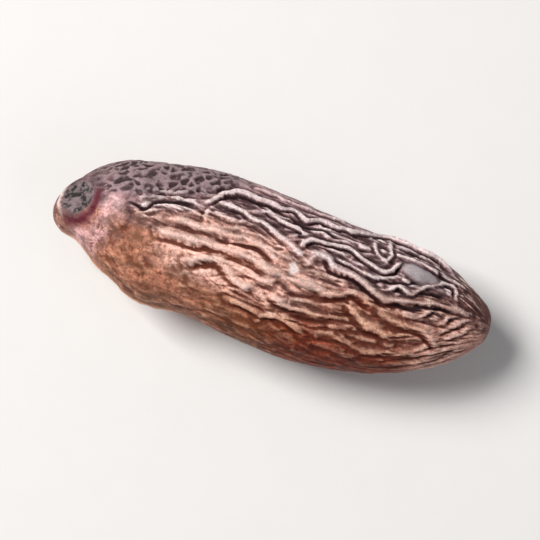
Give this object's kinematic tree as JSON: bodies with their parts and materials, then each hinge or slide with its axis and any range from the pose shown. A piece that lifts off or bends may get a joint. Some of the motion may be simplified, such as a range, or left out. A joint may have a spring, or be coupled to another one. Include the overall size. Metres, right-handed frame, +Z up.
{
  "type": "tonka bean",
  "caption": "Dried tonka bean, a long flattened seed with a wrinkled brown coat and a small round scar at one end.",
  "frame": {"origin": "on the resting plane, under the middle of the bean's box", "axes": "+X from the scar end to the plain end, +Y towards the straighter back edge, +Z up out of the broad face"},
  "size_m": [0.034, 0.0122, 0.0096],
  "materials": {
    "bean_coat": "dried seed coat, dark brown with paler worn folds, dull sheen"
  },
  "bodies": {
    "root": {"tonka_bean": "bean_coat"}
  },
  "joints": []
}
